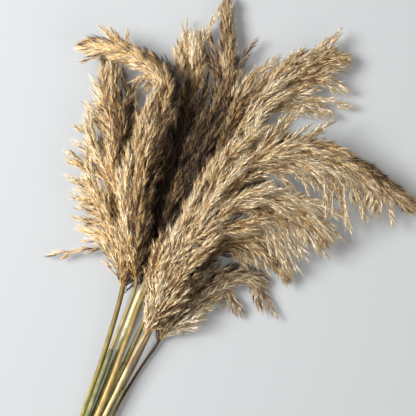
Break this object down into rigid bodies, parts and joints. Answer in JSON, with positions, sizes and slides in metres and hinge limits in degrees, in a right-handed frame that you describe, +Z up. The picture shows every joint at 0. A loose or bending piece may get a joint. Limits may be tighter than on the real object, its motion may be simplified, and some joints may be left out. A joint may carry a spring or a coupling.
{
  "type": "bundle of pampas grass",
  "caption": "Cut bunch of dried plumed grass lying on a surface: slender cane stems with leaf sheaths, fanning into large arching feathery plumes.",
  "frame": {"origin": "middle of the bunch's footprint, on the surface that it lies on", "axes": "+Y from the cut stem ends to the plumes, +X to the side that the long plumes arch to, +Z up off the surface"},
  "size_m": [0.4404, 0.6338, 0.0757],
  "materials": {
    "stem_gold": "smooth, slightly waxy dried cane, golden yellow",
    "stem_olive": "smooth, slightly waxy dried cane, olive green to yellow",
    "stem_brown": "thin dried cane, dark brown",
    "leaf_sheath": "matt, finely ribbed dry leaf sheath, pale green to straw",
    "plume_gold": "soft matt tufts of dry florets, golden brown",
    "plume_brown": "soft matt tufts of dry florets, mid brown",
    "plume_cream": "soft matt tufts of dry florets, pale cream brown",
    "plume_grey": "soft matt tufts of dry florets, greyish brown"
  },
  "bodies": {
    "root": {"stem_1": "stem_olive", "stem_2": "stem_brown", "stem_3": "stem_gold", "stem_4": "stem_gold", "stem_5": "stem_olive", "stem_6": "stem_gold", "stem_7": "stem_gold", "stem_8": "stem_gold", "stem_9": "stem_brown", "sheath_2": "leaf_sheath", "sheath_5": "leaf_sheath", "sheath_8": "leaf_sheath", "sheath_9": "leaf_sheath", "plume_1": "plume_gold", "plume_2": "plume_brown", "plume_3": "plume_gold", "plume_4": "plume_cream", "plume_5": "plume_brown", "plume_6": "plume_cream", "plume_7": "plume_cream", "plume_8": "plume_cream", "plume_9": "plume_grey"}
  },
  "joints": []
}
